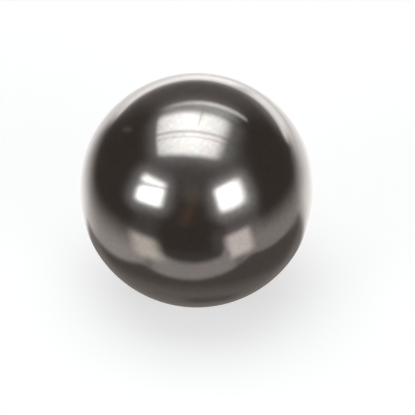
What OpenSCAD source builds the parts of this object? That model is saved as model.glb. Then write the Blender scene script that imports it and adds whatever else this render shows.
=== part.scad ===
// Polished steel ball.
// One solid sphere of through-hardened steel, ground and lapped all over, with no
// flat, hole, seam or other break in its surface. It is the loose ball that runs
// between bearing races, seats in a valve or drops into a detent.
// Millimetres, +Z up, origin at the centre of the ball.

/* [Ball] */
// Diameter of the ball; 12.7 is the half-inch stock size
ball_d = 12.7; // [3:0.1:50]

/* [Hidden] */
// Segments round the ball's equator, for a smooth preview
facets = 192;

// The whole ball: every point of its surface lies ball_d / 2 from the origin.
module ball() {
    color([0.42, 0.40, 0.39])
        sphere(d = ball_d, $fn = facets);
}

ball();
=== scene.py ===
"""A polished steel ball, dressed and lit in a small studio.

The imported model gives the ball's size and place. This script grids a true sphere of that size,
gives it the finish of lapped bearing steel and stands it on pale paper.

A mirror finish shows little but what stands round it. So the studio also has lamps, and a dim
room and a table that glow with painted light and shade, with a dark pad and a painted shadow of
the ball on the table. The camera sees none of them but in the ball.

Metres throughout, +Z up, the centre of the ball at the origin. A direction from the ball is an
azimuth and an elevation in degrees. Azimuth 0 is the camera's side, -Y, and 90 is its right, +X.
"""

import logging
import math
from dataclasses import dataclass
from enum import Enum

import bmesh
import bpy
from mathutils import Matrix, Vector

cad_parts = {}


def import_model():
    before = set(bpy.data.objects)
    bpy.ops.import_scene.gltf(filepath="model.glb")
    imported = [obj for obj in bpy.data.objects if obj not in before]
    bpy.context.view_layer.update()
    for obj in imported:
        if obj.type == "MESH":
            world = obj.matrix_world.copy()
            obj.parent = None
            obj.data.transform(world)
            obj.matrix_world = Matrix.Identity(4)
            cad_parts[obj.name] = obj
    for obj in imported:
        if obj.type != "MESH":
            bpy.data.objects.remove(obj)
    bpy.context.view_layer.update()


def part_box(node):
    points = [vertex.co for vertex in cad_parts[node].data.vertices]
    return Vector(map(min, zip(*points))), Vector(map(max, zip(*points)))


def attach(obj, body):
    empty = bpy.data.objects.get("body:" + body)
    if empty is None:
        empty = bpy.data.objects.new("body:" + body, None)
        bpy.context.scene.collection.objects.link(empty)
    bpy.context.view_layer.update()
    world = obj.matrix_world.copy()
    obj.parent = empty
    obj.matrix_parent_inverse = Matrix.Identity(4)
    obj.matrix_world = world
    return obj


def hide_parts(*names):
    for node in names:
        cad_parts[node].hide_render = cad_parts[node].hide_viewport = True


Place = tuple[float, float]
Span = tuple[float, float]
Colour = tuple[float, float, float]
Socket = bpy.types.NodeSocket
Number = float | Socket
Tint = Colour | Socket

LOG = logging.getLogger("steel_ball")

BODY = "root"
CAD_NODE = "ball"

# The UV map that holds the places on a lamp's face
FACE_MAP = "face"

MM_PER_M = 1000.0
HALF_TURN = 180.0
# Turned by this many degrees each time, directions spread evenly
GOLDEN_ANGLE = 137.5
# What t * (1 - t) comes to in the middle, its highest
ARCH_PEAK = 0.25


def toward(azimuth: float, elevation: float) -> Vector:
    """Unit direction from the ball.

    Args:
        azimuth: Degrees from the camera's side towards its right.
        elevation: Degrees above the horizon.

    Returns:
        The direction in the shared frame.
    """
    turn, rise = math.radians(azimuth), math.radians(elevation)
    level = math.cos(rise)
    return Vector((math.sin(turn) * level, -math.cos(turn) * level, math.sin(rise)))


def overhead(across: float, behind: float) -> Vector:
    """Unit direction to a point of a level ceiling, its place in heights above the ball."""
    return Vector((across, behind, 1.0)).normalized()


@dataclass(frozen=True)
class Graph:
    """Adds and joins the nodes of one node tree."""

    tree: bpy.types.NodeTree

    def add(self, kind: str, inputs: dict[str, object] | None = None, **settings: object) -> bpy.types.Node:
        """Adds one node.

        Args:
            kind: Blender's name for the node.
            inputs: What its inputs get, by their names.
            **settings: Properties to set on it.

        Returns:
            The node.
        """
        node = self.tree.nodes.new(kind)
        for name, value in settings.items():
            setattr(node, name, value)
        for name, value in (inputs or {}).items():
            self.feed(node.inputs[name], value)
        return node

    def feed(self, socket: Socket, value: object) -> None:
        """Gives an input its value.

        Args:
            socket: The input.
            value: An output to join it to, or a plain value, a colour as three numbers.
        """
        if isinstance(value, bpy.types.NodeSocket):
            self.tree.links.new(value, socket)
        elif socket.type == "RGBA":
            socket.default_value = (*value, 1.0)
        else:
            socket.default_value = value

    def place(self) -> Socket:
        """The point's place on its own object."""
        return self.add("ShaderNodeTexCoord").outputs["Object"]

    def maths(self, operation: str, *values: Number) -> Socket:
        """One sum on numbers.

        Args:
            operation: The Math node's operation.
            *values: Its operands.

        Returns:
            The result.
        """
        node = self.add("ShaderNodeMath", operation=operation)
        for socket, value in zip(node.inputs, values):
            self.feed(socket, value)
        return node.outputs["Value"]

    def rest(self, share: Number) -> Socket:
        """What a share leaves of 1."""
        return self.maths("SUBTRACT", 1.0, share)

    def sum(self, *terms: tuple[Socket, float]) -> Socket:
        """Adds numbers up.

        Args:
            *terms: Each number, with the factor that it counts by.

        Returns:
            The total.
        """
        total: Number = 0.0
        for value, factor in terms:
            total = self.maths("MULTIPLY_ADD", value, factor, total)
        return total

    def length(self, *parts: Socket) -> Socket:
        """The length of a vector, from its parts."""
        squares = [(self.maths("MULTIPLY", part, part), 1.0) for part in parts]
        return self.maths("SQRT", self.sum(*squares))

    def vector(self, operation: str, *values: object) -> Socket:
        """One sum on vectors.

        Args:
            operation: The Vector Math node's operation.
            *values: Its vector operands, as triples or sockets.

        Returns:
            The result, which is a number for a dot product or a length.
        """
        node = self.add("ShaderNodeVectorMath", operation=operation)
        for socket, value in zip(node.inputs, values):
            self.feed(socket, value)
        number = operation in ("DOT_PRODUCT", "LENGTH")
        return node.outputs["Value" if number else "Vector"]

    def scaled(self, vector: Socket, factor: Number) -> Socket:
        """A vector times a number."""
        inputs = {"Vector": vector, "Scale": factor}
        return self.add("ShaderNodeVectorMath", inputs, operation="SCALE").outputs["Vector"]

    def split(self, vector: Socket) -> list[Socket]:
        """A vector's X, Y and Z."""
        node = self.add("ShaderNodeSeparateXYZ", {"Vector": vector})
        return [node.outputs[axis] for axis in "XYZ"]

    def ease(self, value: Socket, start: float, end: float, low: float = 0.0, high: float = 1.0) -> Socket:
        """A smooth step.

        Args:
            value: What is stepped.
            start: Where the step begins.
            end: Where it ends; it may lie below start.
            low: The result before the step.
            high: The result after it.

        Returns:
            A number from low to high.
        """
        inputs = {"Value": value, "From Min": start, "From Max": end, "To Min": low, "To Max": high}
        return self.add("ShaderNodeMapRange", inputs, interpolation_type="SMOOTHSTEP").outputs["Result"]

    def mixed(self, share: Socket, first: Tint, second: Tint) -> Socket:
        """Blends two colours.

        Args:
            share: How much of the second shows, from 0 to 1.
            first: The colour at 0.
            second: The colour at 1.

        Returns:
            The blend.
        """
        node = self.add("ShaderNodeMix", data_type="RGBA")
        ports = {(port.name, port.type): port for port in node.inputs}
        self.feed(ports["Factor", "VALUE"], share)
        self.feed(ports["A", "RGBA"], first)
        self.feed(ports["B", "RGBA"], second)
        return next(port for port in node.outputs if port.type == "RGBA")

    def noise(self, place: Socket, scale: float, detail: float) -> Socket:
        """Noise at a scale.

        Args:
            place: Where it is read.
            scale: Waves to one unit of place.
            detail: How many finer layers it carries.

        Returns:
            A number about one half.
        """
        inputs = {"Vector": place, "Scale": scale, "Detail": detail}
        return self.add("ShaderNodeTexNoise", inputs, noise_dimensions="3D", normalize=True).outputs["Fac"]

    def aglow(self, surface: Socket, colour: Tint, strength: Number) -> Socket:
        """Adds light to a surface.

        Args:
            surface: The surface without it.
            colour: The light's colour.
            strength: The light's strength.

        Returns:
            The surface with it.
        """
        light = self.add("ShaderNodeEmission", {"Color": colour, "Strength": strength})
        joined = self.add("ShaderNodeAddShader")
        self.feed(joined.inputs[0], surface)
        self.feed(joined.inputs[1], light.outputs["Emission"])
        return joined.outputs["Shader"]


def new_material(name: str) -> tuple[bpy.types.Material, Graph, bpy.types.Node]:
    """Makes an empty node material.

    Args:
        name: Its name.

    Returns:
        The material, the graph of its nodes, and its output node.
    """
    material = bpy.data.materials.new(name)
    material.use_nodes = True
    material.node_tree.nodes.clear()
    graph = Graph(material.node_tree)
    return material, graph, graph.add("ShaderNodeOutputMaterial")


@dataclass(frozen=True)
class Mottle:
    """Soft blotches: noise, eased from one of its levels to another."""

    scale: float
    detail: float
    start: float
    end: float

    def draw(self, graph: Graph, place: Socket, low: float = 0.0, high: float = 1.0) -> Socket:
        """A number from low to high, in blotches."""
        return graph.ease(graph.noise(place, self.scale, self.detail), self.start, self.end, low, high)


# ---------------------------------------------------------------- the ball


@dataclass(frozen=True)
class Hairlines:
    """The hair-thin scratches that handling leaves, as families of broken arcs.

    Each family lies in parallel planes across the ball, and blotches break it into short arcs.
    """

    families: int = 5
    spacing_mm: float = 1.1
    width_mm: float = 0.016
    wander_mm: float = 0.22
    wander_scale: float = 0.12
    patches: Mottle = Mottle(0.32, 1.0, 0.60, 0.72)
    patch_shift_mm: float = 31.0

    def direction(self, index: int) -> Vector:
        """The direction that a family's planes face, spread evenly round the ball."""
        height = 1.0 - (2.0 * index + 1.0) / self.families
        return toward(GOLDEN_ANGLE * index, math.degrees(math.asin(height)))

    def draw(self, graph: Graph, place: Socket) -> Socket:
        """Draws every family.

        Args:
            graph: The material's nodes.
            place: The point on the ball in millimetres.

        Returns:
            1 on a scratch and 0 between them.
        """
        wander = graph.noise(place, self.wander_scale, 0.0)
        marks: Number = 0.0
        for index in range(self.families):
            along = graph.vector("DOT_PRODUCT", place, tuple(self.direction(index)))
            along = graph.maths("MULTIPLY_ADD", wander, self.wander_mm * (index + 1), along)
            planes = {"W": graph.maths("DIVIDE", along, self.spacing_mm)}
            edges = {"voronoi_dimensions": "1D", "feature": "DISTANCE_TO_EDGE"}
            cells = graph.add("ShaderNodeTexVoronoi", planes, **edges)
            line = graph.ease(cells.outputs["Distance"], self.width_mm / self.spacing_mm, 0.0)
            shifted = graph.vector("ADD", place, (0.0, 0.0, self.patch_shift_mm * (index + 1)))
            mark = graph.maths("MULTIPLY", line, self.patches.draw(graph, shifted))
            marks = graph.maths("MAXIMUM", marks, mark)
        return marks


@dataclass(frozen=True)
class LappedSteel:
    """Hardened bearing steel, lapped to a mirror and wiped with thin oil.

    Its tint drifts between two warm greys, a fine grain mottles it, and its polish has clouds.
    The oil is the clear coat, whose soft bloom spreads round each bright reflection.
    """

    name: str = "polished_steel"
    mauve: Colour = (0.434, 0.395, 0.387)
    olive: Colour = (0.406, 0.391, 0.366)
    drift: Mottle = Mottle(1.1, 2.0, 0.36, 0.64)
    grain_scale: float = 4.5
    grain_detail: float = 2.0
    grain_depth: float = 0.25
    roughness: float = 0.085
    clouds: Mottle = Mottle(0.28, 3.0, 0.35, 0.65)
    cloud_roughness: float = 0.03
    hairlines: Hairlines = Hairlines()
    hairline_roughness: float = 0.16
    lapping_relief: float = 8.0e-8
    scratch_relief: float = 2.0e-7
    coat_weight: float = 1.0
    coat_roughness: float = 0.22
    coat_ior: float = 1.5

    def build(self) -> bpy.types.Material:
        """Makes the material.

        Returns:
            One Principled material on the ball's own coordinates.
        """
        material, graph, output = new_material(self.name)
        place = graph.scaled(graph.place(), MM_PER_M)
        grain = graph.noise(place, self.grain_scale, self.grain_detail)
        clouds = self.clouds.draw(graph, place)
        marks = self.hairlines.draw(graph, place)

        colour = graph.mixed(self.drift.draw(graph, place), self.mauve, self.olive)
        level = graph.maths("MULTIPLY_ADD", grain, self.grain_depth, 1.0 - self.grain_depth / 2.0)
        roughness = graph.maths("MULTIPLY_ADD", clouds, self.cloud_roughness, self.roughness)
        roughness = graph.maths("MULTIPLY_ADD", marks, self.hairline_roughness, roughness)
        scratch = graph.maths("MULTIPLY", marks, -self.scratch_relief)
        height = graph.maths("MULTIPLY_ADD", grain, self.lapping_relief, scratch)
        bump = graph.add("ShaderNodeBump", {"Strength": 1.0, "Distance": 1.0, "Height": height})

        finish = {
            "Base Color": graph.scaled(colour, level),
            "Metallic": 1.0,
            "Roughness": roughness,
            "Normal": bump.outputs["Normal"],
            "Coat Weight": self.coat_weight,
            "Coat Roughness": self.coat_roughness,
            "Coat IOR": self.coat_ior,
        }
        steel = graph.add("ShaderNodeBsdfPrincipled", finish)
        graph.feed(output.inputs["Surface"], steel.outputs["BSDF"])
        return material


@dataclass(frozen=True)
class Ball:
    """The whole ball: an evenly gridded cube blown up to a true sphere."""

    diameter: float
    rows: int = 96
    name: str = "polished_ball"

    def form(self) -> bpy.types.NodeTree:
        """Builds the geometry tree: every point of a gridded cube goes out to the sphere.

        The cube's faces reach from -1 to 1. A tangent spreads their grid, so that equal steps on
        the cube become nearly equal angles on the ball.

        Returns:
            The tree, with inputs named Diameter, Rows and Finish.
        """
        tree = bpy.data.node_groups.new("ball_form", "GeometryNodeTree")
        for name, kind in (("Diameter", "Float"), ("Rows", "Int"), ("Finish", "Material")):
            tree.interface.new_socket(name, in_out="INPUT", socket_type="NodeSocket" + kind)
        tree.interface.new_socket("Geometry", in_out="OUTPUT", socket_type="NodeSocketGeometry")
        graph = Graph(tree)
        given = graph.add("NodeGroupInput").outputs
        points = graph.maths("ADD", given["Rows"], 1.0)
        grid = {"Size": (2.0, 2.0, 2.0)} | {"Vertices " + axis: points for axis in "XYZ"}
        cube = graph.add("GeometryNodeMeshCube", grid)

        corner = graph.add("GeometryNodeInputPosition").outputs["Position"]
        even = graph.vector("TANGENT", graph.scaled(corner, math.pi / 4.0))
        radius = graph.maths("DIVIDE", given["Diameter"], 2.0)
        place = graph.scaled(graph.vector("NORMALIZE", even), radius)

        steps = (
            graph.add("GeometryNodeSetPosition", {"Position": place}),
            graph.add("GeometryNodeSetShadeSmooth"),
            graph.add("GeometryNodeRealizeInstances"),
            graph.add("GeometryNodeSetMaterial", {"Material": given["Finish"]}),
        )
        shape = cube.outputs["Mesh"]
        for step in steps:
            graph.feed(step.inputs["Geometry"], shape)
            shape = step.outputs["Geometry"]
        graph.add("NodeGroupOutput", {"Geometry": shape})
        return tree

    def build(self, finish: bpy.types.Material) -> bpy.types.Object:
        """Runs the tree once and keeps its result as a plain mesh.

        Args:
            finish: The ball's material.

        Returns:
            The finished piece, centred on the origin.
        """
        tree = self.form()
        carrier = bpy.data.objects.new(self.name + "_form", bpy.data.meshes.new("empty"))
        bpy.context.scene.collection.objects.link(carrier)
        modifier = carrier.modifiers.new("form", "NODES")
        modifier.node_group = tree
        chosen = {"Diameter": self.diameter, "Rows": self.rows, "Finish": finish}
        for item in tree.interface.items_tree:
            if item.in_out == "INPUT":
                modifier[item.identifier] = chosen[item.name]
        depsgraph = bpy.context.evaluated_depsgraph_get()
        mesh = bpy.data.meshes.new_from_object(carrier.evaluated_get(depsgraph))
        carrier.modifiers.remove(modifier)
        bpy.data.objects.remove(carrier)
        mesh.name = self.name
        piece = bpy.data.objects.new(self.name, mesh)
        bpy.context.scene.collection.objects.link(piece)
        return piece

    def mount(self, piece: bpy.types.Object) -> None:
        """Puts the piece in the place of the CAD ball.

        Args:
            piece: The finished ball.
        """
        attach(piece, BODY)
        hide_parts(CAD_NODE)


# ---------------------------------------------------------------- the studio


class Sight(Enum):
    """Which rays don't meet a piece of the studio."""

    OPEN = ()
    LAMP = ("visible_camera",)
    MIRRORED = ("visible_camera", "visible_diffuse", "visible_shadow", "visible_volume_scatter")

    def limit(self, thing: bpy.types.Object) -> None:
        """Hides the thing from those rays."""
        for flag in self.value:
            setattr(thing, flag, False)


def finish_stage(
    name: str, mesh: bpy.types.Mesh, material: bpy.types.Material, sight: Sight
) -> bpy.types.Object:
    """Adds a piece of the studio.

    Args:
        name: The object's name.
        mesh: Its mesh.
        material: Its material.
        sight: Which rays don't meet it.

    Returns:
        The object, left off the ball's body.
    """
    mesh.materials.append(material)
    thing = bpy.data.objects.new(name, mesh)
    bpy.context.scene.collection.objects.link(thing)
    sight.limit(thing)
    LOG.info("stage piece %s", name)
    return thing


def square(name: str, half_width: float, height: float) -> bpy.types.Mesh:
    """A level square that faces up.

    Args:
        name: The mesh's name.
        half_width: Half its side.
        height: The height it lies at.

    Returns:
        The mesh.
    """
    corners = [(-1, -1), (1, -1), (1, 1), (-1, 1)]
    mesh = bpy.data.meshes.new(name)
    mesh.from_pydata([(x * half_width, y * half_width, height) for x, y in corners], [], [(0, 1, 2, 3)])
    return mesh


def shown_rays(graph: Graph) -> Socket:
    """Finds the rays that show the background.

    Args:
        graph: The material's nodes.

    Returns:
        1 for the camera's own ray, a mirrored or a refracted one, and 0 for any other.
    """
    path = graph.add("ShaderNodeLightPath").outputs
    seen = graph.maths("MAXIMUM", path["Is Camera Ray"], path["Is Glossy Ray"])
    return graph.maths("MAXIMUM", seen, path["Is Transmission Ray"])


@dataclass(frozen=True)
class Seam:
    """A thin dark line on a lamp's cloth, which may widen along its way and bow to one side."""

    start: Place
    end: Place
    start_width: float
    end_width: float
    depth: float
    bow: float = 0.0

    def shade(self, graph: Graph, across: Socket, up: Socket) -> Socket:
        """How much light the line leaves.

        Args:
            graph: The material's nodes.
            across: The point's place across the face.
            up: The point's place up the face.

        Returns:
            1 off the line, and less on it.
        """
        run, climb = self.end[0] - self.start[0], self.end[1] - self.start[1]
        length = math.hypot(run, climb)
        x = graph.maths("SUBTRACT", across, self.start[0])
        y = graph.maths("SUBTRACT", up, self.start[1])
        along = graph.maths("DIVIDE", graph.sum((x, run), (y, climb)), length * length)
        aside = graph.maths("DIVIDE", graph.sum((x, -climb), (y, run)), length)
        on_line = graph.maths("MINIMUM", graph.maths("MAXIMUM", along, 0.0), 1.0)
        arch = graph.maths("MULTIPLY", on_line, graph.rest(on_line))
        aside = graph.maths("SUBTRACT", aside, graph.maths("MULTIPLY", arch, self.bow / ARCH_PEAK))
        past = graph.maths("MULTIPLY", graph.maths("SUBTRACT", along, on_line), length)
        widening = self.end_width - self.start_width
        width = graph.maths("MULTIPLY_ADD", on_line, widening, self.start_width)
        gap = graph.maths("DIVIDE", graph.length(aside, past), width)
        return graph.ease(gap, 0.0, 1.0, 1.0 - self.depth, 1.0)


@dataclass(frozen=True)
class Glow:
    """The light of a lamp's face: soft towards its edges, with the seams of its cloth.

    Places on the face run from -1 to 1. The light may lean to one side and fall off to both, and
    its low edge may sag between its ends. A little of it is painted round the face as a glowing
    halo: all of that on the core and its margin, and less and less from there to the end of the
    reach.
    """

    radiance: float
    soft_left: float = 0.3
    soft_right: float = 0.3
    soft_low: float = 0.3
    soft_high: float = 0.3
    sag: float = 0.0
    lean: float = 0.0
    falloff: float = 0.0
    falloff_power: float = 1.5
    cloth: float = 0.0
    weave: Mottle = Mottle(3.0, 3.0, 0.3, 0.7)
    seams: tuple[Seam, ...] = ()
    spill: float = 0.0
    spill_core: float = 0.5
    spill_margin: float = 0.2
    reach: float = 1.0
    colour: Colour = (0.965, 0.995, 1.01)

    def build(self, name: str) -> bpy.types.Material:
        """Makes the material on the face's own UV map.

        Args:
            name: The material's name.

        Returns:
            The material, which is clear where it doesn't glow.
        """
        material, graph, output = new_material(name)
        clear = graph.add("ShaderNodeBsdfTransparent").outputs["BSDF"]
        strength = graph.maths("MULTIPLY", self.level(graph), self.radiance)
        graph.feed(output.inputs["Surface"], graph.aglow(clear, self.colour, strength))
        return material

    def level(self, graph: Graph) -> Socket:
        """How bright the face and its surroundings are.

        Args:
            graph: The material's nodes.

        Returns:
            About 1 in the middle of the face, less on its seams and towards its edges.
        """
        face = graph.add("ShaderNodeUVMap", uv_map=FACE_MAP).outputs["UV"]
        across, up, _ = graph.split(face)
        away = graph.maths("POWER", graph.maths("ABSOLUTE", across), self.falloff_power)
        fallen = graph.rest(graph.maths("MULTIPLY", away, self.falloff))
        arch = graph.rest(graph.maths("MULTIPLY", across, across))
        sagging = graph.maths("MULTIPLY_ADD", arch, self.sag, up)
        shares = [
            graph.maths("MAXIMUM", fallen, 0.0),
            graph.ease(across, -1.0, self.soft_left - 1.0),
            graph.ease(across, 1.0, 1.0 - self.soft_right),
            graph.ease(sagging, -1.0, self.soft_low - 1.0),
            graph.ease(up, 1.0, 1.0 - self.soft_high),
        ]
        if self.cloth:
            shares.append(self.weave.draw(graph, face, 1.0 - self.cloth, 1.0 + self.cloth))
        shares += [seam.shade(graph, across, up) for seam in self.seams]
        level = graph.maths("MULTIPLY_ADD", across, self.lean, 1.0)
        for share in shares:
            level = graph.maths("MULTIPLY", level, share)
        if self.spill:
            level = graph.maths("MULTIPLY_ADD", self.spilt(graph, across, up), self.spill, level)
        return level

    def spilt(self, graph: Graph, across: Socket, up: Socket) -> Socket:
        """The painted halo round the face.

        Args:
            graph: The material's nodes.
            across: The point's place across the face.
            up: The point's place up the face.

        Returns:
            1 on the core and its margin, and 0 at the end of the reach.
        """
        gaps = []
        for place in (across, up):
            past = graph.maths("SUBTRACT", graph.maths("ABSOLUTE", place), self.spill_core)
            gaps.append(graph.maths("MAXIMUM", past, 0.0))
        fade = graph.ease(graph.length(*gaps), self.reach - self.spill_core, self.spill_margin)
        return graph.maths("MULTIPLY", fade, fade)


@dataclass(frozen=True)
class Panel:
    """A lamp's face between four directions from the ball, given low left first, then round."""

    name: str
    corners: tuple[Vector, Vector, Vector, Vector]
    glow: Glow
    sight: Sight = Sight.LAMP
    distance: float = 0.5
    steps: int = 12

    def place(self, across: float, up: float) -> Vector:
        """Finds a point of the face.

        Args:
            across: Its place across, from -1 to 1 between the corners.
            up: Its place up, likewise.

        Returns:
            The point in the shared frame.
        """
        low = self.corners[0].lerp(self.corners[1], (across + 1.0) / 2.0)
        high = self.corners[3].lerp(self.corners[2], (across + 1.0) / 2.0)
        return low.lerp(high, (up + 1.0) / 2.0) * self.distance

    def build(self) -> bpy.types.Object:
        """Makes the face as a grid out to its reach, with its places as a UV map.

        Returns:
            The lamp.
        """
        reach = self.glow.reach
        ticks = [reach * (2.0 * i / self.steps - 1.0) for i in range(self.steps + 1)]
        places = [(across, up) for up in ticks for across in ticks]
        row = self.steps + 1
        faces = [
            (i + j * row, i + 1 + j * row, i + 1 + (j + 1) * row, i + (j + 1) * row)
            for j in range(self.steps)
            for i in range(self.steps)
        ]
        mesh = bpy.data.meshes.new(self.name)
        mesh.from_pydata([self.place(*place) for place in places], [], faces)
        uv_map = mesh.uv_layers.new(name=FACE_MAP)
        for loop in mesh.loops:
            uv_map.data[loop.index].uv = places[loop.vertex_index]
        return finish_stage(self.name, mesh, self.glow.build(self.name), self.sight)


# The two lamps in front, left and right; a dark band, wide at its left end, crosses the left one
LAMP_LEFT = Panel(
    "lamp_left",
    (toward(-67.6, 6.5), toward(-31.4, 12.1), toward(-32.6, 39.2), toward(-73, 35.2)),
    Glow(
        3.6,
        soft_left=0.6,
        soft_right=0.55,
        soft_low=0.42,
        soft_high=0.6,
        seams=(Seam((-1.05, 0.11), (0.9, 0.5), 0.4, 0.13, 0.8),),
        spill=0.065,
        reach=2.35,
    ),
)
LAMP_RIGHT = Panel(
    "lamp_right",
    (toward(20.2, 7.9), toward(55.7, 9.7), toward(61.2, 38.7), toward(15.7, 36.7)),
    Glow(3.6, soft_left=0.5, soft_right=0.9, soft_low=0.75, soft_high=0.5, spill=0.075, reach=2.25),
)

# The softbox overhead: two seams across its cloth, one up it, and a fainter band low down
SOFTBOX = Panel(
    "softbox",
    (overhead(-0.78, -0.305), overhead(0.50, -0.485), overhead(0.67, 0.54), overhead(-0.64, 0.76)),
    Glow(
        2.32,
        soft_left=0.1,
        soft_right=0.42,
        soft_low=0.3,
        soft_high=0.42,
        sag=0.04,
        lean=-0.07,
        falloff=0.62,
        cloth=0.05,
        seams=(
            Seam((-1.0, 0.0), (1.0, 0.04), 0.10, 0.10, 0.6, bow=-0.04),
            Seam((-1.0, -0.23), (1.0, -0.19), 0.07, 0.07, 0.42),
            Seam((0.08, 0.18), (0.1, 1.0), 0.015, 0.07, 0.65),
            Seam((-1.0, -0.75), (1.0, -0.75), 0.55, 0.55, 0.13),
        ),
        spill=0.10,
        reach=1.95,
    ),
)

# The dim flap behind the softbox, and the strip light behind that
SOFTBOX_FLAP = Panel(
    "softbox_flap",
    (overhead(-0.68, 0.68), overhead(0.8, 0.48), overhead(0.85, 0.80), overhead(-0.66, 0.98)),
    Glow(0.24, soft_right=0.6, lean=0.8),
    Sight.MIRRORED,
)
STRIP_LIGHT = Panel(
    "strip_light",
    (overhead(-0.68, 0.76), overhead(0.97, 0.715), overhead(1.0, 0.965), overhead(-0.66, 1.07)),
    Glow(1.1, soft_left=0.3, soft_right=0.1, soft_low=0.9, soft_high=0.9, lean=0.75, falloff=0.8),
    Sight.MIRRORED,
)


@dataclass(frozen=True)
class Spot:
    """A point of a mirrored surface, by its place and by the direction in which the ball has it."""

    across: Socket
    behind: Socket
    azimuth: Socket
    rise: Socket

    @classmethod
    def read(cls, graph: Graph) -> "Spot":
        """Reads the point from the surface's own coordinates.

        Args:
            graph: The material's nodes.

        Returns:
            Its place in metres, and its azimuth and elevation in degrees.
        """
        across, behind, up = graph.split(graph.place())
        ahead = graph.maths("MULTIPLY", behind, -1.0)
        azimuth = graph.maths("DEGREES", graph.maths("ARCTAN2", across, ahead))
        rise = graph.maths("DEGREES", graph.maths("ARCTAN2", up, graph.length(across, behind)))
        return cls(across, behind, azimuth, rise)


@dataclass(frozen=True)
class Paint:
    """What a mirrored surface shows at a point: its colour, and how far it is see-through."""

    colour: Tint
    clear: Number = 0.0

    def under(self, graph: Graph, cover: Socket, colour: Tint, clear: float = 0.0) -> "Paint":
        """Lays another paint over this one.

        Args:
            graph: The material's nodes.
            cover: How much of this one it hides, from 0 to 1.
            colour: Its colour.
            clear: How far it is see-through.

        Returns:
            The two together.
        """
        left = graph.maths("MULTIPLY", self.clear, graph.rest(cover))
        both = graph.maths("MULTIPLY_ADD", cover, clear, left)
        return Paint(graph.mixed(cover, self.colour, colour), both)


@dataclass(frozen=True)
class Patch:
    """A soft-edged part of what the ball mirrors, by azimuth and elevation from its centre.

    It spreads so many degrees to each side of its azimuth. Its sides lean by so many degrees of
    azimuth for each degree of elevation, and its top and bottom tilt the other way round, more
    and more so by the bend. What lies beyond it shows through as far as it is clear.
    """

    azimuth: float
    spread: float
    low: float
    high: float
    colour: Colour
    soft_turn: float = 10.0
    soft_rise: float = 5.0
    lean: float = 0.0
    tilt: float = 0.0
    bend: float = 0.0
    clear: float = 0.0

    def cover(self, graph: Graph, spot: Spot) -> Socket:
        """Where the patch lies.

        Args:
            graph: The material's nodes.
            spot: The point.

        Returns:
            1 in the patch and 0 outside it.
        """
        away = graph.maths("SUBTRACT", spot.azimuth, self.azimuth)
        away = graph.maths("MULTIPLY_ADD", spot.rise, -self.lean, away)
        away = graph.maths("WRAP", away, HALF_TURN, -HALF_TURN)
        slope = graph.maths("MULTIPLY_ADD", away, self.bend, self.tilt)
        level = graph.maths("SUBTRACT", spot.rise, graph.maths("MULTIPLY", away, slope))
        half_turn, half_rise = self.soft_turn / 2.0, self.soft_rise / 2.0
        side = graph.ease(graph.maths("ABSOLUTE", away), self.spread + half_turn, self.spread - half_turn)
        above = graph.ease(level, self.low - half_rise, self.low + half_rise)
        below = graph.ease(level, self.high + half_rise, self.high - half_rise)
        return graph.maths("MULTIPLY", side, graph.maths("MULTIPLY", above, below))


@dataclass(frozen=True)
class Pad:
    """The dark pad under the ball: a four-sided mat, its corners in ball radii, front left first.

    Its darkness is partly its own and partly a painted shadow of the ball. It is a little paler close
    under the ball, where painted bounce light falls, and paler again behind it and at its far right
    tip. One darker patch of it, low in front, is a painted contact shadow.
    """

    corners: tuple[Place, ...] = ((-1.17, -1.27), (1.53, -1.6), (2.85, 0.33), (-1.77, 0.53))
    soft: tuple[float, ...] = (0.22, 0.3, 0.34, 0.26)
    colour: Colour = (0.12, 0.105, 0.098)
    # Painted bounce light, paler close under the ball
    bounce_light_colour: Colour = (0.19, 0.17, 0.158)
    bounce_light_reach: Span = (0.9, 1.3)
    back_colour: Colour = (0.22, 0.196, 0.183)
    back_start: Span = (-0.84, -0.42)
    back_bow: float = 0.4
    tip_start: Span = (2.05, 2.5)
    # A painted contact shadow of the ball, low in front
    shade: Patch = Patch(12, 22, -56.5, -50.5, (0.12, 0.105, 0.095), soft_turn=24, soft_rise=6)

    def lay(self, graph: Graph, spot: Spot, ball_radius: float, paint: Paint) -> Paint:
        """Lays the pad over the table.

        Args:
            graph: The material's nodes.
            spot: The point.
            ball_radius: The ball's radius.
            paint: The table's paint.

        Returns:
            The paint with the pad on it.
        """
        across = graph.maths("DIVIDE", spot.across, ball_radius)
        behind = graph.maths("DIVIDE", spot.behind, ball_radius)
        reach = graph.length(across, behind)
        # Painted bounce light makes the pad paler close under the ball
        tone = graph.mixed(graph.ease(reach, *self.bounce_light_reach), self.bounce_light_colour, self.colour)
        back = graph.ease(graph.maths("MULTIPLY_ADD", reach, -self.back_bow, behind), *self.back_start)
        tip = graph.ease(across, *self.tip_start)
        tone = graph.mixed(graph.maths("MAXIMUM", back, tip), tone, self.back_colour)
        # The painted contact shadow, low in front
        tone = graph.mixed(self.shade.cover(graph, spot), tone, self.shade.colour)
        return paint.under(graph, self.cover(graph, across, behind), tone)

    def cover(self, graph: Graph, across: Socket, behind: Socket) -> Socket:
        """Where the pad lies.

        Args:
            graph: The material's nodes.
            across: The point's place to the right, in ball radii.
            behind: Its place to the back, likewise.

        Returns:
            1 on the pad and 0 beside it.
        """
        cover: Number = 1.0
        for start, end, soft in zip(self.corners, self.corners[1:] + self.corners[:1], self.soft):
            length = math.hypot(end[0] - start[0], end[1] - start[1])
            inward = ((start[1] - end[1]) / length, (end[0] - start[0]) / length)
            offset = inward[0] * start[0] + inward[1] * start[1]
            inside = graph.maths("SUBTRACT", graph.sum((across, inward[0]), (behind, inward[1])), offset)
            cover = graph.maths("MULTIPLY", cover, graph.ease(inside, -soft / 2.0, soft / 2.0))
        return cover
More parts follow.
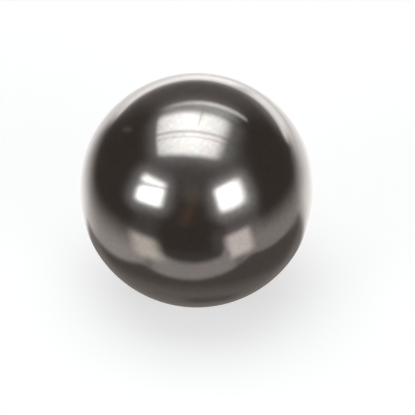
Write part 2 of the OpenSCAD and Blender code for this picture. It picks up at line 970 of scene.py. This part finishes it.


# The room's painted light and shade, later patches over earlier ones
ROOM_PATCHES = (
    # The wall behind, its paler top, and its paler foot
    Patch(178, 34, -10, 42, (0.155, 0.141, 0.136), soft_turn=34, soft_rise=10),
    Patch(178, 38, 38, 62, (0.205, 0.195, 0.19), soft_turn=20, soft_rise=12),
    Patch(173, 34, -10, 12, (0.26, 0.25, 0.24), soft_turn=28, soft_rise=10, tilt=-0.06),
    # The ceiling in front of the softbox
    Patch(0, 80, 40, 64, (0.12, 0.115, 0.11), soft_turn=40, soft_rise=20),
    # The walls round the left lamp and the right one
    Patch(-52, 20, 3, 42, (0.115, 0.11, 0.105), soft_turn=14, soft_rise=20),
    Patch(42, 20, -12, 42, (0.145, 0.137, 0.133), soft_turn=14, soft_rise=10),
    # Between the lamps: a faint brown streak, and the haze over it
    Patch(-12.5, 4.5, 0, 34, (0.125, 0.086, 0.064), soft_turn=14, soft_rise=20, lean=0.3),
    Patch(-6.5, 10, 26, 44, (0.145, 0.13, 0.12), soft_turn=16, soft_rise=12),
    # A fleck, far back on the left
    Patch(-140.8, 1.6, 18, 28, (0.19, 0.15, 0.135), soft_turn=4, soft_rise=8, lean=0.6),
    # The white opening at the foot of the wall, and a grey streak in it
    Patch(172.8, 41.2, -20, 5.8, (0.32, 0.29, 0.265), soft_turn=10, soft_rise=6, tilt=-0.03,
          bend=-0.0017, clear=1.0),
    Patch(164.5, 2.8, -20, 5, (0.0, 0.0, 0.0), soft_turn=6, soft_rise=4, clear=0.85),
)

# The table top's painted light and shade, later patches over earlier ones
TABLE_PATCHES = (
    # Below the left lamp, below the right one, and at the inner side of the right one's image
    Patch(-46, 12, -30, 20, (0.105, 0.10, 0.095), soft_turn=14, soft_rise=10),
    Patch(42, 17, -30, 20, (0.17, 0.16, 0.155), soft_turn=14, soft_rise=10),
    Patch(18, 5, -24, -4, (0.12, 0.11, 0.10), soft_turn=8, soft_rise=8),
    # Its pale part to the left and to the right of the ball
    Patch(-83, 47, -80, -16.8, (0.495, 0.468, 0.453), soft_turn=24, soft_rise=20),
    Patch(71, 38, -80, -9.5, (0.395, 0.37, 0.357), soft_turn=24, soft_rise=16),
    # The dark gap in the middle, and the pale band in front of the pad
    Patch(-2, 34, -40, -17.5, (0.085, 0.08, 0.075), soft_turn=12, soft_rise=7),
    Patch(-2, 34, -80, -24.7, (0.44, 0.41, 0.40), soft_turn=12, soft_rise=5, tilt=0.024, bend=0.0067),
    # Painted reflections of the two lamps in the table, and the pale gap beside the right one
    Patch(-54.7, 11, -25.2, -13.1, (0.92, 0.87, 0.80), soft_turn=14, soft_rise=6, lean=-0.7),
    Patch(35, 10.7, -22.6, -7.7, (1.06, 0.995, 0.96), soft_turn=9, soft_rise=5, tilt=0.12),
    Patch(23.5, 3, -40, -17.8, (0.44, 0.41, 0.40), soft_turn=5, soft_rise=4),
    # The paper shows through behind: white on the left, greyer next to that, white on the right
    Patch(-150, 47, -80, -6, (0.07, 0.04, 0.01), soft_turn=40, soft_rise=20, tilt=-0.25, clear=0.94),
    Patch(-168, 22, -80, 10, (0.07, 0.04, 0.02), soft_turn=12, soft_rise=14, clear=0.80),
    Patch(140, 38, -80, -1, (0.09, 0.05, 0.03), soft_turn=24, soft_rise=18, tilt=0.33, clear=0.90),
    # A thin grey line in it, its bright far edge, the brightest part of that, and the streak
    Patch(155, 24, -9, -6, (0.03, 0.02, 0.01), soft_turn=12, soft_rise=3, tilt=-0.08, clear=0.75),
    Patch(172, 34.6, -4.6, 10, (0.38, 0.34, 0.32), soft_turn=18, soft_rise=5, clear=0.97),
    Patch(175, 9, -4.6, 10, (0.58, 0.53, 0.51), soft_turn=10, soft_rise=5, clear=1.0),
    Patch(164.5, 2.5, -5, 10, (0.0, 0.0, 0.0), soft_turn=6, soft_rise=4, clear=0.97),
    # The paper close by, right and left, with painted light added on it
    Patch(127, 17, -80, -16, (0.25, 0.21, 0.185), soft_turn=24, soft_rise=10, clear=1.0),
    Patch(-130, 16, -80, -20, (0.20, 0.16, 0.135), soft_turn=24, soft_rise=10, clear=1.0),
)


@dataclass(frozen=True)
class Surround:
    """What the ball mirrors besides the lamps: a dim room above, and a table below.

    Mirrored rays alone see them. No lamp lights them: they glow with painted light and shade, as a
    lit room and table would give it back. Both are clear at the back, where the pale paper and the
    white beyond it show.
    """

    ball_radius: float
    dim: Colour = (0.067, 0.055, 0.048)
    room_radius: float = 0.9
    room_segments: int = 96
    room_patches: tuple[Patch, ...] = ROOM_PATCHES
    table_lift: float = 0.00002
    table_patches: tuple[Patch, ...] = TABLE_PATCHES
    pad: Pad = Pad()

    def build(self) -> None:
        """Stands up the room and the table top."""
        self.room()
        self.table()

    def paint(self, name: str, patches: tuple[Patch, ...], pad: Pad | None = None) -> bpy.types.Material:
        """Paints a surface by the direction in which the ball has it.

        Args:
            name: The material's name.
            patches: The patches, later ones over earlier ones.
            pad: The pad, where the surface carries it.

        Returns:
            The material.
        """
        material, graph, output = new_material(name)
        spot = Spot.read(graph)
        paint = Paint(self.dim)
        for patch in patches:
            paint = paint.under(graph, patch.cover(graph, spot), patch.colour, patch.clear)
        if pad:
            paint = pad.lay(graph, spot, self.ball_radius, paint)
        beyond = graph.add("ShaderNodeBsdfTransparent", {"Color": paint.clear}).outputs["BSDF"]
        graph.feed(output.inputs["Surface"], graph.aglow(beyond, paint.colour, 1.0))
        material.cycles.emission_sampling = "NONE"
        return material

    def room(self) -> bpy.types.Object:
        """Makes the room as a dome, cut off level with the table.

        Returns:
            The dome.
        """
        material = self.paint("dim_room", self.room_patches)
        mesh = bpy.data.meshes.new("dim_room")
        form = bmesh.new()
        turns, rings = self.room_segments, self.room_segments // 2
        bmesh.ops.create_uvsphere(form, u_segments=turns, v_segments=rings, radius=self.room_radius)
        low = [vertex for vertex in form.verts if vertex.co.z < -self.ball_radius]
        bmesh.ops.delete(form, geom=low, context="VERTS")
        for vertex in form.verts:
            if vertex.co.z < self.ball_radius:
                vertex.co.z = -self.ball_radius
        form.to_mesh(mesh)
        form.free()
        return finish_stage("dim_room", mesh, material, Sight.MIRRORED)

    def table(self) -> bpy.types.Object:
        """Makes the table top as the ball mirrors it, just above the paper.

        Returns:
            The table top.
        """
        material = self.paint("mirrored_table", self.table_patches, self.pad)
        mesh = square("mirrored_table", self.room_radius, self.table_lift - self.ball_radius)
        return finish_stage("mirrored_table", mesh, material, Sight.MIRRORED)


@dataclass(frozen=True)
class Paper:
    """The pale paper that the ball stands on, and the white beyond it.

    The paper is grey enough to keep the ball's shadow. For the rays that show it, a glow lifts it
    to white, and lifts it most away from the ball.
    """

    ball_radius: float
    half_width: float = 1.2
    grey: Colour = (0.50, 0.50, 0.50)
    lift_near: float = 0.60
    lift_far: float = 1.0
    near: float = 0.1
    far: float = 0.5
    white: Colour = (1.0, 1.0, 1.0)
    fill: float = 0.2

    def build(self) -> bpy.types.Object:
        """Lays the paper under the ball and lights the world.

        Returns:
            The paper.
        """
        material, graph, output = new_material("pale_paper")
        matt = graph.add("ShaderNodeBsdfDiffuse", {"Color": self.grey}).outputs["BSDF"]
        away = graph.vector("LENGTH", graph.place())
        lift = graph.ease(away, self.near, self.far, self.lift_near, self.lift_far)
        strength = graph.maths("MULTIPLY", shown_rays(graph), lift)
        graph.feed(output.inputs["Surface"], graph.aglow(matt, self.white, strength))
        material.cycles.emission_sampling = "NONE"
        mesh = square("paper_floor", self.half_width, -self.ball_radius)
        paper = finish_stage("paper_floor", mesh, material, Sight.OPEN)
        self.light_world()
        return paper

    def light_world(self) -> None:
        """Makes the world white where the background shows, and a little fill for the rest."""
        world = bpy.data.worlds.new("studio")
        world.use_nodes = True
        world.node_tree.nodes.clear()
        graph = Graph(world.node_tree)
        strength = graph.maths("MULTIPLY_ADD", shown_rays(graph), 1.0 - self.fill, self.fill)
        background = graph.add("ShaderNodeBackground", {"Color": self.white, "Strength": strength})
        graph.add("ShaderNodeOutputWorld", {"Surface": background.outputs["Background"]})
        bpy.context.scene.world = world


@dataclass(frozen=True)
class Camera:
    """A long lens that looks down on the ball, with the ball where the frame puts it."""

    ball_radius: float
    elevation: float = 36.7
    lens_mm: float = 400.0
    sensor_mm: float = 36.0
    frame_px: float = 415.0
    ball_radius_px: float = 117.35
    ball_px: Place = (196.7, 190.2)
    clip_start: float = 0.01
    clip_end: float = 10.0

    def build(self) -> bpy.types.Object:
        """Sets the camera up.

        Returns:
            The camera, which is the scene's own.
        """
        data = bpy.data.cameras.new("camera")
        data.lens = self.lens_mm
        data.sensor_width = self.sensor_mm
        data.clip_start = self.clip_start
        data.clip_end = self.clip_end
        camera = bpy.data.objects.new("camera", data)
        bpy.context.scene.collection.objects.link(camera)
        focal_px = self.frame_px * self.lens_mm / self.sensor_mm
        distance = self.ball_radius / math.sin(math.atan(self.ball_radius_px / focal_px))
        back = toward(0.0, self.elevation)
        facing = (-back).to_track_quat("-Z", "Y").to_matrix()
        middle = self.frame_px / 2.0
        aside = Vector((middle - self.ball_px[0], self.ball_px[1] - middle, 0.0)) * (distance / focal_px)
        camera.matrix_world = Matrix.Translation(back * distance + facing @ aside) @ facing.to_4x4()
        bpy.context.scene.camera = camera
        return camera


@dataclass(frozen=True)
class Studio:
    """The paper, the surroundings, the lamps and the camera."""

    ball_radius: float
    lamps: tuple[Panel, ...] = (LAMP_LEFT, LAMP_RIGHT, SOFTBOX, SOFTBOX_FLAP, STRIP_LIGHT)

    def build(self) -> None:
        """Stands everything up round the ball."""
        Paper(self.ball_radius).build()
        Surround(self.ball_radius).build()
        for lamp in self.lamps:
            lamp.build()
        Camera(self.ball_radius).build()


def main() -> None:
    """Builds the ball and its studio."""
    logging.basicConfig(level=logging.INFO, format="%(name)s: %(message)s")
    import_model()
    bpy.context.scene.view_settings.view_transform = "Standard"
    low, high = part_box(CAD_NODE)
    diameter = high.z - low.z

    ball = Ball(diameter)
    piece = ball.build(LappedSteel().build())
    ball.mount(piece)
    LOG.info("piece %s, %d faces", piece.name, len(piece.data.polygons))

    Studio(diameter / 2.0).build()


if __name__ == "__main__":
    main()
